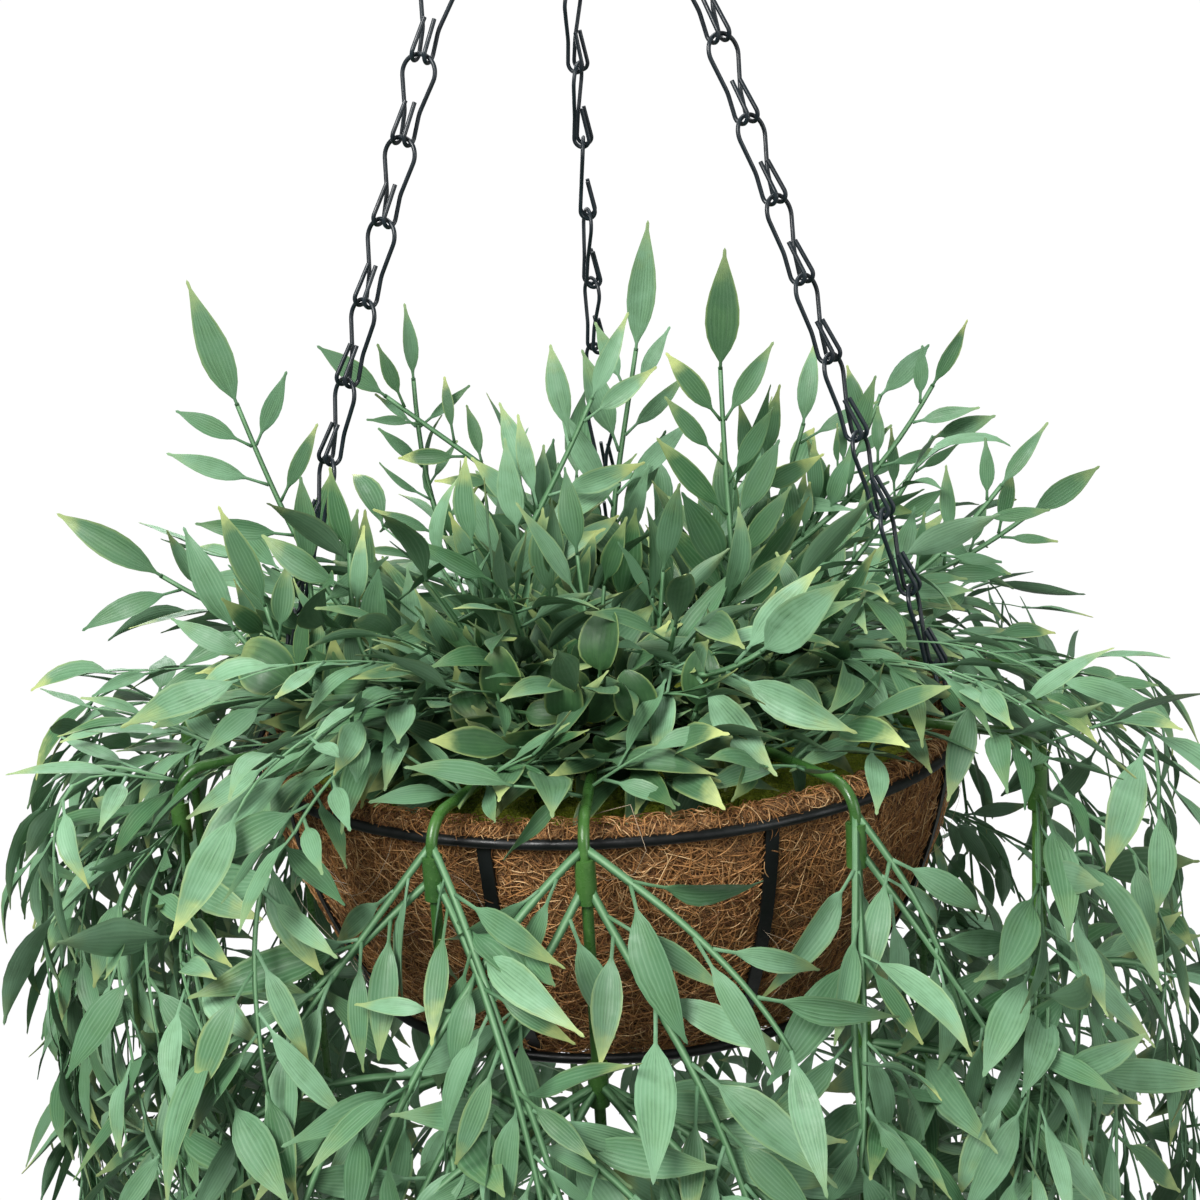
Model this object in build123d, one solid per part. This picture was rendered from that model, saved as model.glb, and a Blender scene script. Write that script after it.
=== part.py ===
"""Hanging basket: a wire bowl with a coir liner, three link chains and artificial trailing plants.

Millimetres, +Z up.  The origin is the point of the top hook that bears on the bracket or
ceiling hook, so the whole basket hangs below it.  The front of the basket faces -Y.
Azimuths are in degrees about Z, counted from +X.
"""

from build123d import *
from math import cos, radians, sin, sqrt
import os

# ---------------------------------------------------------------- driving dimensions
# wire bowl
RIM_RADIUS = 152.4          # centre-line of the rim of a 12 inch basket
RIM_WIRE = 4.0              # diameter of the round wire of the rim and the base hoop
RIB_COUNT = 9
RIB_START = -28.5           # azimuth of the first rib
RIB_WIDTH = 5.3
RIB_THICKNESS = 2.0
BOWL_TOP = (151.0, -1.5)    # radius and height below the rim where a rib's centre-line starts
BOWL_TURN = (113.0, -100.0)  # where the side turns into the base
BOWL_BULGE = 6.5            # how far the side bows out from its chord
BASE_CORNER = 12.0          # radius of the turn from the side to the base
BASE_RING_RADIUS = 38.0
BASE_RING_WIRE = 3.0

# liner and foam
LINER_CLEARANCE = 0.3
LINER_THICKNESS = 8.0
LIP_HEIGHT = 5.5            # the liner stands this far above the rim's centre-line
LIP_ROUND = 3.0
NOTCH_WIDTH = 15.0          # dent in the lip where a chain's end link grips the rim
NOTCH_DEPTH = 6.0
NOTCH_DROP = 9.0
FOAM_CLEARANCE = 0.4
FOAM_EDGE = -14.0           # height of the foam's top edge
FOAM_CROWN = -5.0           # height of the foam's top in the middle

# chains
LINK_WIRE = 1.8
LINKS_PER_CHAIN = 15        # the last one grips the rim
BOW_HALF_WIDTH = 10.2       # corner of the bow, before rounding
BOW_ROUND = 7.3
WAIST_HALF_WIDTH = 3.5      # where the bow has narrowed and the legs run down side by side
WAIST_HEIGHT = 13.5         # of the waist above the bottom of the hooks
WAIST_ROUND = 14.0
HOOK_SPACING = 5.8          # between the two hooks of one link
HOOK_REACH = 3.9            # half of a hook's width across the chain
HOOK_ROUND = 3.8
TIP_SPACING = 4.4
TIP_HEIGHT = 17.0           # of a hook's tip above the bottom of the hook
CONTACT_GAP = 0.06          # left between two bars or wires that bear on each other
CHAINS = {                  # azimuth at the rim, place on the gather ring, twist, link gap
    "right": (-20.0, -3.2, (0.0, 0.75), 0.4),
    "back": (88.0, 3.2, (0.5, 1.0), 0.75),
    "left": (190.0, 0.0, (0.0, 1.3), 0.25),
}                           # twist: extra turns, and how late in the chain the turning comes
RING_GAP = 0.2              # between the chains' top links and the gather ring
HANG_LENGTH = 471.3         # from the chains' top links down to the rim

# top hook and gather ring
HOOK_WIRE = 4.0
MOUTH_HALF_WIDTH = 16.0     # of the hook's centre-line
MOUTH_ROUND = 15.0
TIP_DROP = 24.0
SHANK_TOP = -33.0
SHANK_END = -44.0
EYE_CENTRE = -61.0
EYE_RADIUS = 7.0
EYE_SWEEP = 300.0
GATHER_WIRE = 3.0
GATHER_HALF_WIDTH = 9.5
GATHER_HEIGHT = 22.0
GATHER_LOW_ROUND = 4.0

# plants
STEM_DIAMETER = 4.1
STEM_ROOT = (72.0, -45.0)   # radius and height where a trailing stem starts in the foam
STEM_RISE = (84.0, 15.0)    # where it turns out over the lip
STEM_CREST = 14.0           # height at which it turns down outside the rim
STEM_BEND = 12.0
STEM_END_GAP = 25.0         # the stem stops this far above the ends of its leaves
FOAM_BORE_GAP = 0.15
STEM_CHANNEL = 8.2          # width of the way through the leaves
COLLAR_DIAMETER = 7.4
COLLAR_LENGTH = 16.0
COLLAR_FIRST = -7.0
COLLAR_STEP = 76.0
COLLAR_GAP = 0.08
LEAVES_INSIDE = 163.0       # nearest that the trailing leaves come to the axis beside the bowl
LEAVES_UNDER = 122.0        # and below the bowl
LEAVES_TURN = (-98.0, -132.0)   # heights between which they close in below the bowl
LEAVES_TOP = 16.5
LEAVES_ROUND = 9.0
TRAILING = [                # azimuth, half spread, reach, drop below the rim, stem radius
    (-32.0, 13.0, 262.0, 372.0, 190.0),
    (2.0, 13.0, 266.0, 392.0, 192.0),
    (34.0, 13.0, 258.0, 380.0, 188.0),
    (60.0, 9.0, 226.0, 356.0, 172.0),
    (101.0, 8.5, 222.0, 342.0, 170.0),
    (125.0, 7.5, 228.0, 360.0, 172.0),
    (148.0, 13.0, 260.0, 384.0, 188.0),
    (174.0, 11.0, 268.0, 396.0, 192.0),
    (206.0, 13.0, 262.0, 368.0, 190.0),
    (247.5, 8.5, 222.0, 350.0, 170.0),
    (266.0, 8.5, 218.0, 338.0, 169.0),
    (299.5, 9.5, 226.0, 362.0, 171.0),
]
CHAIN_WAY = 8.0             # half angle left free of upright leaves beside each chain
SPRAY_GAP = 2.0             # angle between two neighbouring sprays
SPRAYS_BETWEEN = (3, 3, 5)  # right to back, back to left, left to right
SPRAY_BASE = 18.5           # height of the lowest upright leaves above the rim
SPRAY_INSIDE = 14.0
SPRAY_SHOULDER = (58.0, 196.0)
SPRAY_CREST = (160.0, 180.0)
SPRAY_EAVE = (232.0, 92.0)
SPRAY_BRIM = (252.0, 34.0)
SPRAY_HEIGHTS = (1.0, 0.93, 1.04, 0.97)
PEG_RADIUS = 48.0           # where a spray's stem enters the foam
PEG_DEPTH = -42.0

# ---------------------------------------------------------------- derived places
EYE_LOW = EYE_CENTRE - EYE_RADIUS
GATHER_TOP = EYE_LOW + (HOOK_WIRE + GATHER_WIRE) / 2 + CONTACT_GAP
GATHER_LOW = GATHER_TOP - GATHER_HEIGHT
CHAIN_TOP = GATHER_LOW + (GATHER_WIRE + LINK_WIRE) / 2 + RING_GAP
RIM_Z = CHAIN_TOP - HANG_LENGTH


def radial(radius, height):
    """A point of the X-Z plane at this radius and at this height from the rim."""
    return Vector(radius, 0, RIM_Z + height)


def bowl_arcs():
    """Centre and radius of the bowl's side arc, and centre of its base corner."""
    top = Vector(BOWL_TOP[0], 0, BOWL_TOP[1])
    turn = Vector(BOWL_TURN[0], 0, BOWL_TURN[1])
    chord = turn - top
    half = chord.length / 2
    side_radius = (half**2 + BOWL_BULGE**2) / (2 * BOWL_BULGE)
    outward = Vector(-chord.Z, 0, chord.X).normalized()
    side_centre = (top + turn) * 0.5 - outward * (side_radius - BOWL_BULGE)
    corner_centre = turn + (side_centre - turn).normalized() * BASE_CORNER
    return top, turn, side_centre, side_radius, corner_centre


def bowl_line(inset, inner_radius):
    """The bowl's centre-line moved inwards, from its top to inner_radius on the base."""
    top, turn, side_centre, side_radius, corner_centre = bowl_arcs()
    lift = Vector(0, 0, RIM_Z)
    radius = side_radius - inset
    corner = BASE_CORNER - inset
    start = side_centre + (top - side_centre).normalized() * radius
    end = side_centre + (turn - side_centre).normalized() * radius
    middle = side_centre + ((start + end) * 0.5 - side_centre).normalized() * radius
    floor = corner_centre - Vector(0, 0, corner)
    bisector = (end - corner_centre).normalized() + Vector(0, 0, -1)
    corner_middle = corner_centre + bisector.normalized() * corner
    inner = Vector(inner_radius, 0, floor.Z)
    return [
        ThreePointArc(start + lift, middle + lift, end + lift),
        ThreePointArc(end + lift, corner_middle + lift, floor + lift),
        Line(floor + lift, inner + lift),
    ]


def ends(edges):
    """First and last point of a run of edges."""
    return edges[0] @ 0, edges[-1] @ 1


def turn_profile(edges):
    """A solid of revolution about Z from closed edges in the X-Z plane."""
    face = make_face(Wire(edges))
    return revolve(face, Axis.Z, 360)


def wire_ring(radius, wire, height):
    """A ring of round wire about Z."""
    return Pos(0, 0, RIM_Z + height) * Torus(radius, wire / 2)


def round_bar(path, diameter):
    """A round bar along a path."""
    section = Plane(origin=path @ 0, z_dir=path % 0) * Circle(diameter / 2)
    return sweep(section, path)


# ---------------------------------------------------------------- hook and ring
def top_hook():
    """Open hook above, closed eye below, bent from one round wire in the X-Z plane."""
    crest = HOOK_WIRE / 2
    points = [
        (-MOUTH_HALF_WIDTH - 1.5, crest - TIP_DROP),
        (-MOUTH_HALF_WIDTH, crest),
        (MOUTH_HALF_WIDTH, crest),
        (MOUTH_HALF_WIDTH, crest - 22.0),
        (0.0, SHANK_TOP),
        (0.0, SHANK_END),
        (EYE_RADIUS, SHANK_END - 10.0),
        (EYE_RADIUS, EYE_CENTRE),
    ]
    radii = [MOUTH_ROUND, MOUTH_ROUND, 9.0, 9.0, 8.0, 8.0]
    shank = FilletPolyline(*[Vector(x, 0, z) for x, z in points], radius=radii)
    half = radians(EYE_SWEEP / 2)
    eye_middle = Vector(EYE_RADIUS * cos(half), 0, EYE_CENTRE - EYE_RADIUS * sin(half))
    eye_end = Vector(EYE_RADIUS * cos(2 * half), 0, EYE_CENTRE - EYE_RADIUS * sin(2 * half))
    eye = ThreePointArc(shank @ 1, eye_middle, eye_end)
    return round_bar(Wire([*shank.edges(), eye]), HOOK_WIRE)


def gather_ring():
    """Ring with a straight lower bar that carries the three chains, in the Y-Z plane."""
    half_height = GATHER_HEIGHT / 2
    centre = GATHER_TOP - half_height
    bar = GATHER_HALF_WIDTH - GATHER_LOW_ROUND
    side = GATHER_HALF_WIDTH
    shoulder = GATHER_TOP - side
    bend = GATHER_LOW + GATHER_LOW_ROUND
    inset = GATHER_LOW_ROUND * (1 - 1 / sqrt(2))
    path = Wire([
        Line((0, -bar, GATHER_LOW), (0, bar, GATHER_LOW)),
        ThreePointArc((0, bar, GATHER_LOW), (0, side - inset, GATHER_LOW + inset), (0, side, bend)),
        Line((0, side, bend), (0, side, shoulder)),
        ThreePointArc((0, side, shoulder), (0, 0, GATHER_TOP), (0, -side, shoulder)),
        Line((0, -side, shoulder), (0, -side, bend)),
        ThreePointArc((0, -side, bend), (0, inset - side, GATHER_LOW + inset), (0, -bar, GATHER_LOW)),
    ])
    assert GATHER_LOW < centre < GATHER_TOP
    return round_bar(path, GATHER_WIRE)


# ---------------------------------------------------------------- chains
def bow_seat(gap):
    """How far the hooks of a link lie below the top of the bow that they carry."""
    shoulder = sqrt(BOW_ROUND**2 - (HOOK_SPACING / 2) ** 2)
    sag = BOW_ROUND - shoulder
    slope = shoulder / BOW_ROUND
    return sag + (LINK_WIRE + gap) / slope


def chain_line(name):
    """Start, direction and pitch of a chain, and the rim's tangent where it ends."""
    azimuth, place, _, gap = CHAINS[name]
    start = Vector(0, place, CHAIN_TOP)
    angle = radians(azimuth)
    grip = Vector(RIM_RADIUS * cos(angle), RIM_RADIUS * sin(angle), RIM_Z)
    line = grip - start
    rim_hold = (LINK_WIRE + RIM_WIRE) / 2 + RING_GAP
    pitch = (line.length + rim_hold - bow_seat(gap)) / LINKS_PER_CHAIN
    tangent = Vector(-sin(angle), cos(angle), 0)
    return start, line.normalized(), pitch, tangent


def link(reach):
    """One bent-wire link hanging from its pear-shaped bow: legs down, twin hooks folded to -Y."""
    low = -reach
    hook = HOOK_SPACING / 2
    tip = TIP_SPACING / 2
    waist_lean = HOOK_REACH * (reach - WAIST_HEIGHT) / reach
    half = [
        Vector(tip, -0.6, low + TIP_HEIGHT),
        Vector(hook, -HOOK_REACH, low),
        Vector(hook, HOOK_REACH, low),
        Vector(WAIST_HALF_WIDTH, waist_lean, low + WAIST_HEIGHT),
        Vector(BOW_HALF_WIDTH, 0, 0),
    ]
    other = [Vector(-point.X, point.Y, point.Z) for point in reversed(half)]
    radii = [HOOK_ROUND * 0.85, HOOK_ROUND, WAIST_ROUND, BOW_ROUND]
    path = FilletPolyline(*half, *other, radius=radii + radii[::-1])
    return round_bar(path, LINK_WIRE)


def chain_links(name):
    """Every link of one chain, each turned a little from the one above it."""
    start, along, pitch, tangent = chain_line(name)
    up = along * -1
    across = (Vector(1, 0, 0) - up * up.X).normalized()
    beside = up.cross(across)
    grip = across.get_signed_angle(tangent, up)
    if grip > 90:
        grip -= 180
    if grip < -90:
        grip += 180
    turns, lateness = CHAINS[name][2]
    full = grip + 360 * turns
    shape = link(pitch + bow_seat(CHAINS[name][3]))
    placed = []
    for number in range(LINKS_PER_CHAIN):
        share = (number / (LINKS_PER_CHAIN - 1)) ** lateness
        twist = radians(full * share)
        turned = across * cos(twist) + beside * sin(twist)
        seat = Plane(origin=start + along * (pitch * number), x_dir=turned, z_dir=up)
        placed.append(seat.location * shape)
    return placed


# ---------------------------------------------------------------- bowl
def rib(azimuth, rim):
    """One flat bar from under the rim, down the side and in to the base ring."""
    half = RIB_THICKNESS / 2
    outer = bowl_line(-half, BASE_RING_RADIUS - 4.0)
    inner = bowl_line(half, BASE_RING_RADIUS - 4.0)
    outer_start, outer_end = ends(outer)
    inner_start, inner_end = ends(inner)
    outline = [*outer, Line(outer_end, inner_end), *inner, Line(inner_start, outer_start)]
    bar = extrude(make_face(Wire(outline)), RIB_WIDTH / 2, dir=(0, 1, 0), both=True)
    return Rot(0, 0, azimuth) * (bar - rim)


def base_hoop():
    """Round hoop outside the ribs where the side turns into the base."""
    _, turn, side_centre, _, _ = bowl_arcs()
    outward = (turn - side_centre).normalized()
    centre = turn + outward * ((RIB_THICKNESS + RIM_WIRE) / 2 + CONTACT_GAP)
    return wire_ring(centre.X, RIM_WIRE, centre.Z)


def base_ring():
    """Small round ring under the inner ends of the ribs."""
    floor = bowl_line(0, BASE_RING_RADIUS)[-1] @ 1
    drop = (RIB_THICKNESS + BASE_RING_WIRE) / 2
    return wire_ring(BASE_RING_RADIUS, BASE_RING_WIRE, floor.Z - RIM_Z - drop)


def liner_insets():
    """Inset of the liner's outside and inside from the ribs' centre-line."""
    outside = RIB_THICKNESS / 2 + LINER_CLEARANCE
    return outside, outside + LINER_THICKNESS


def coir_liner():
    """Felted bowl inside the ribs, with a rounded lip dented where the chains pass."""
    outside, inside = liner_insets()
    outer = bowl_line(outside, 0)
    inner = bowl_line(inside, 0)
    outer_start, outer_end = ends(outer)
    inner_start, inner_end = ends(inner)
    lip = RIM_Z + LIP_HEIGHT
    crest = FilletPolyline(
        outer_start,
        Vector(outer_start.X, 0, lip),
        Vector(inner_start.X, 0, lip),
        inner_start,
        radius=LIP_ROUND,
    )
    liner = turn_profile([*outer, Line(outer_end, inner_end), *inner, *crest.edges()])
    for azimuth, _, _, _ in CHAINS.values():
        dent = Pos(outer_start.X, 0, lip) * Box(2 * NOTCH_DEPTH, NOTCH_WIDTH, 2 * NOTCH_DROP)
        liner -= Rot(0, 0, azimuth) * dent
    return liner


def foam_block():
    """Foam that fills the liner, slightly crowned, bored for every stem."""
    line = bowl_line(liner_insets()[1] + FOAM_CLEARANCE, 0)
    start, end = ends(line)
    crown = radial(0, FOAM_CROWN)
    rim_point = radial(start.X, FOAM_CROWN)
    half = make_face(Wire([*line, Line(end, crown), Line(crown, rim_point), Line(rim_point, start)]))
    block = revolve(half, Axis.Z, 360)
    sphere_drop = FOAM_CROWN - FOAM_EDGE
    sphere = (start.X**2 + sphere_drop**2) / (2 * sphere_drop)
    dome = Pos(0, 0, RIM_Z + FOAM_CROWN - sphere) * Sphere(sphere)
    block = block & dome
    for azimuth, _, _, drop, radius in TRAILING:
        block -= Rot(0, 0, azimuth) * trailing_stem(radius, drop, STEM_DIAMETER + 2 * FOAM_BORE_GAP)
    for azimuth, _, _ in spray_sectors():
        block -= Rot(0, 0, azimuth) * spray_peg(STEM_DIAMETER + 2 * FOAM_BORE_GAP)
    return block


# ---------------------------------------------------------------- plants
def trailing_stem(radius, drop, diameter):
    """A stem out of the foam, over the lip and straight down outside the bowl."""
    path = FilletPolyline(
        radial(*STEM_ROOT),
        radial(*STEM_RISE),
        radial(radius, STEM_CREST),
        radial(radius, STEM_END_GAP - drop),
        radius=STEM_BEND,
    )
    return round_bar(path, diameter)


def trailing_leaves(spread, reach, drop, radius):
    """The space that the leaves of one trailing stem fill, outside the bowl."""
    outline = [
        radial(LEAVES_INSIDE, -14.0),
        radial(LEAVES_INSIDE + 10.0, LEAVES_TOP),
        radial(reach - 30.0, LEAVES_TOP),
        radial(reach, -34.0),
        radial(reach, -0.6 * drop),
        radial(reach - 26.0, -drop),
        radial(LEAVES_UNDER + 30.0, -drop),
        radial(LEAVES_UNDER, -0.75 * drop),
        radial(LEAVES_UNDER, LEAVES_TURN[1]),
        radial(LEAVES_INSIDE, LEAVES_TURN[0]),
    ]
    face = make_face(FilletPolyline(*outline, radius=LEAVES_ROUND, close=True))
    body = Rot(0, 0, -spread) * revolve(face, Axis.Z, 2 * spread)
    return body - trailing_stem(radius, drop + 2 * STEM_END_GAP, STEM_CHANNEL)


def collars():
    """Short sleeves slipped on the trailing stems where leafy sprigs branch off."""
    bore = STEM_DIAMETER / 2 + COLLAR_GAP
    sleeve = Cylinder(COLLAR_DIAMETER / 2, COLLAR_LENGTH) - Cylinder(bore, 2 * COLLAR_LENGTH)
    placed = []
    for azimuth, _, _, drop, radius in TRAILING:
        height = COLLAR_FIRST
        while height > STEM_END_GAP + COLLAR_LENGTH - drop:
            placed.append(Rot(0, 0, azimuth) * Pos(radius, 0, RIM_Z + height) * sleeve)
            height -= COLLAR_STEP
    return placed


def spray_sectors():
    """Azimuth, half spread and height factor of every upright spray, between the chains."""
    posts = [CHAINS["right"][0], CHAINS["back"][0], CHAINS["left"][0], CHAINS["right"][0] + 360]
    sectors = []
    for gap, count in enumerate(SPRAYS_BETWEEN):
        first = posts[gap] + CHAIN_WAY
        room = posts[gap + 1] - posts[gap] - 2 * CHAIN_WAY
        spread = (room - SPRAY_GAP * (count - 1)) / count
        for number in range(count):
            azimuth = first + number * (spread + SPRAY_GAP) + spread / 2
            factor = SPRAY_HEIGHTS[len(sectors) % len(SPRAY_HEIGHTS)]
            sectors.append((azimuth, spread / 2, factor))
    return sectors


def spray_peg(diameter):
    """The stem of an upright spray, from inside the foam up into its leaves."""
    path = Line(radial(PEG_RADIUS, PEG_DEPTH), radial(PEG_RADIUS, SPRAY_BASE + 6.0))
    return round_bar(path, diameter)


def upright_spray(spread, factor):
    """The space that an upright spray's leaves fill, on its stem."""
    corners = [SPRAY_SHOULDER, SPRAY_CREST, SPRAY_EAVE, SPRAY_BRIM]
    outline = [radial(SPRAY_INSIDE, SPRAY_BASE), radial(SPRAY_INSIDE, 0.7 * SPRAY_SHOULDER[1])]
    outline += [radial(radius, height * factor) for radius, height in corners]
    outline += [radial(SPRAY_BRIM[0] - 20.0, SPRAY_BASE)]
    face = make_face(Polyline(*outline, close=True))
    body = Rot(0, 0, -spread) * revolve(face, Axis.Z, 2 * spread)
    return body + spray_peg(STEM_DIAMETER)


# ---------------------------------------------------------------- assembly
def save(name, shapes):
    """Write one node, made of one solid or of several separate ones."""
    solids = shapes if isinstance(shapes, list) else [shapes]
    pieces = [solid for shape in solids for solid in shape.solids()]
    node = Compound(children=pieces) if len(pieces) > 1 else pieces[0]
    node.label = name
    export_step(node, f"parts/{name}.step")


def main():
    os.makedirs("parts", exist_ok=True)
    save("top_hook", top_hook())
    save("gather_ring", gather_ring())
    for name in CHAINS:
        links = chain_links(name)
        save(f"chain_{name}", links[:-1])
        save(f"rim_link_{name}", links[-1])
    rim = wire_ring(RIM_RADIUS, RIM_WIRE, 0)
    save("rim", rim)
    for number in range(RIB_COUNT):
        save(f"rib_{number + 1}", rib(RIB_START + 360 / RIB_COUNT * number, rim))
    save("base_hoop", base_hoop())
    save("base_ring", base_ring())
    save("coir_liner", coir_liner())
    save("foam_block", foam_block())
    for number, (azimuth, spread, reach, drop, radius) in enumerate(TRAILING, start=1):
        turn = Rot(0, 0, azimuth)
        save(f"trailing_stem_{number:02d}", turn * trailing_stem(radius, drop, STEM_DIAMETER))
        save(f"trailing_leaves_{number:02d}", turn * trailing_leaves(spread, reach, drop, radius))
    save("sprig_collars", collars())
    for number, (azimuth, spread, factor) in enumerate(spray_sectors(), start=1):
        save(f"upright_spray_{number:02d}", Rot(0, 0, azimuth) * upright_spray(spread, factor))


main()
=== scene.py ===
"""Looks of the hanging basket: coated wire, coir liner, foam and artificial trailing leaves.

Metres, +Z up, in the frame of the design files.  Every place is taken from the designed parts.
"""

import random
from math import atan2, cos, hypot, pi, radians, sin

import bpy
import numpy as np
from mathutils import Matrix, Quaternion, Vector


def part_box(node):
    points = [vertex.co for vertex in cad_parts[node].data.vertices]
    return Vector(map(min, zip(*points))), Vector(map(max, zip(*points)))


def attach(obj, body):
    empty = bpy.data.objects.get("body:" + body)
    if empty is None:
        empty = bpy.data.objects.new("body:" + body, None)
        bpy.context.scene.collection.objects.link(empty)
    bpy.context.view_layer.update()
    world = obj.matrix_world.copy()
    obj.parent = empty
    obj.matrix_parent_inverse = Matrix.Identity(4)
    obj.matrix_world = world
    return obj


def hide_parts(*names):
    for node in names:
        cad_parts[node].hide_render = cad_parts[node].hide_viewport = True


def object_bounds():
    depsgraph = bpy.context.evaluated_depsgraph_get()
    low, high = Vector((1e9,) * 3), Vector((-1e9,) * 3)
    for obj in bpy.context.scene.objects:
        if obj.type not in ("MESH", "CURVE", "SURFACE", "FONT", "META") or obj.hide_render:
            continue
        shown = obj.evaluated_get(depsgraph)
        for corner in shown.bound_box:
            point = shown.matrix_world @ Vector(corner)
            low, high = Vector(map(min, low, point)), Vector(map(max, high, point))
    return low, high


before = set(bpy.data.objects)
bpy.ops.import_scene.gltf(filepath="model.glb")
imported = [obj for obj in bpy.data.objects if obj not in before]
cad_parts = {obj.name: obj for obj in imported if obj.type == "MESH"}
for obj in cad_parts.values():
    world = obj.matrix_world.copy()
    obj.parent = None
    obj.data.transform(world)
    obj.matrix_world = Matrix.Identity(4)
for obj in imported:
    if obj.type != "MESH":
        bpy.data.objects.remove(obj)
cad_low, cad_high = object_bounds()
rng = random.Random(816)
between = rng.uniform
about = rng.gauss
dice = np.random.default_rng(816)
join = np.concatenate

UP = Vector((0, 0, 1))

# ---- places of the designed parts
RIM_WIRE = 0.004
rim_low, rim_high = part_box("rim")
hoop_low, hoop_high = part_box("base_hoop")
foam_low, foam_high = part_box("foam_block")
coir_low, coir_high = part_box("coir_liner")
RIM_Z = (rim_low.z + rim_high.z) / 2
RIM_RADIUS = (rim_high.x - rim_low.x - RIM_WIRE) / 2
TURN_Z = (hoop_low.z + hoop_high.z) / 2
TURN_RADIUS = (hoop_high.x - hoop_low.x) / 2 - RIM_WIRE
BOWL_BULGE = 0.0065
RIB_THICKNESS = 0.002
LINER_THICKNESS = 0.008
LIP_Z = coir_high.z
BASE_Z = coir_low.z
FOAM_EDGE = RIM_Z - 0.014
CLEAR_HEIGHT = 0.085                    # no leaves here, so the right chain's lower end shows
CLEAR_DEPTH = 0.10
FRONTWARDS = (-0.206, -0.946, 0.245)
LIMIT = Vector((0.020, 0.019, 0.018))   # leaves may pass the designed box by this much
LEAF_LOW = cad_low - LIMIT
LEAF_HIGH = cad_high + LIMIT
REACH_X = cad_high.x + 0.002            # sprigs turn down before they pass this ellipse
REACH_Y = cad_high.y + 0.002
FOAM_SPRIG_Z = RIM_Z + 0.0145           # where sprigs start that stand in the foam
INNER_RADIUS = 0.088                    # of the innermost of them
COLLAR_DROP = 0.007                     # from the rim down to the first collar
COLLAR_GAP = 0.076                      # from one collar to the next
TRUNK_HEIGHT = 0.022                    # of the bunches over the foam


def mesh_points(name):
    """World coordinates of a designed part's mesh."""
    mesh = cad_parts[name].data
    flat = np.empty(len(mesh.vertices) * 3)
    mesh.vertices.foreach_get("co", flat)
    return flat.reshape(-1, 3)


def lowest(name, depth=0.0015):
    """Middle of the lowest part of a designed part."""
    points = mesh_points(name)
    chosen = points[points[:, 2] < points[:, 2].min() + depth]
    return Vector(chosen.mean(axis=0))


def azimuth_of(point):
    return atan2(point.y, point.x)


def level_directions(foot):
    """The level directions away from the middle and beside it."""
    azimuth = azimuth_of(foot)
    outward = Vector((cos(azimuth), sin(azimuth), 0))
    return outward, UP.cross(outward)


def rising(degrees, level):
    """A level direction turned up by this angle."""
    lean = radians(degrees)
    return level.normalized() * cos(lean) + UP * sin(lean)


def bowl_radius(z):
    """Radius of the outside of the ribs at this height."""
    share = min(max((RIM_Z - z) / (RIM_Z - TURN_Z), 0.0), 1.15)
    chord = RIM_RADIUS + (TURN_RADIUS - RIM_RADIUS) * share
    return chord + BOWL_BULGE * 4 * share * max(1 - share, 0) + RIB_THICKNESS / 2


def foam_top(radius):
    """Height of the foam's crowned top."""
    share = min(radius / (RIM_RADIUS - 0.012), 1.0)
    return foam_high.z + (FOAM_EDGE - foam_high.z) * share * share


# ---- material nodes
class Value:
    """An output in a material's node tree, for plain arithmetic."""

    def __init__(self, tree, socket):
        self.tree = tree
        self.socket = socket

    def step(self, operation, *values):
        """One node of arithmetic on these values."""
        node = self.tree.nodes.new("ShaderNodeMath")
        node.operation = operation
        for socket, value in zip(node.inputs, values):
            plug(self.tree, value, socket)
        return Value(self.tree, node.outputs[0])

    def __add__(self, other):
        return self.step("ADD", self, other)

    def __sub__(self, other):
        return self.step("SUBTRACT", self, other)

    def __rsub__(self, other):
        return self.step("SUBTRACT", other, self)

    def __mul__(self, other):
        return self.step("MULTIPLY", self, other)

    def above(self, other):
        return self.step("MAXIMUM", self, other)

    def spread(self, low, high, start=0.0, end=1.0):
        """This value's range from low to high turned smoothly into start to end."""
        return add(self.tree, "ShaderNodeMapRange", "Result", interpolation_type="SMOOTHSTEP",
                   Value=self, From_Min=low, From_Max=high, To_Min=start, To_Max=end)


def plug(tree, value, socket):
    """Link an output to an input, or set the input to a constant."""
    if isinstance(value, Value):
        tree.links.new(value.socket, socket)
    else:
        socket.default_value = value


def add(tree, kind, output, **settings):
    """A new node's output; settings that name an input go there, the rest are properties."""
    node = tree.nodes.new(kind)
    for key, value in settings.items():
        name = key.replace("_", " ")
        if name in node.inputs:
            plug(tree, value, node.inputs[name])
        else:
            setattr(node, key, value)
    return Value(tree, node.outputs[output])


def mix(share, first, second):
    """Two colours mixed by a share."""
    values = (share, first, second)
    tree = next(value.tree for value in values if isinstance(value, Value))
    node = tree.nodes.new("ShaderNodeMix")
    node.data_type = "RGBA"
    for index, value in zip((0, 6, 7), values):
        plug(tree, (*value, 1.0) if isinstance(value, tuple) else value, node.inputs[index])
    return Value(tree, node.outputs[2])


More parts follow.
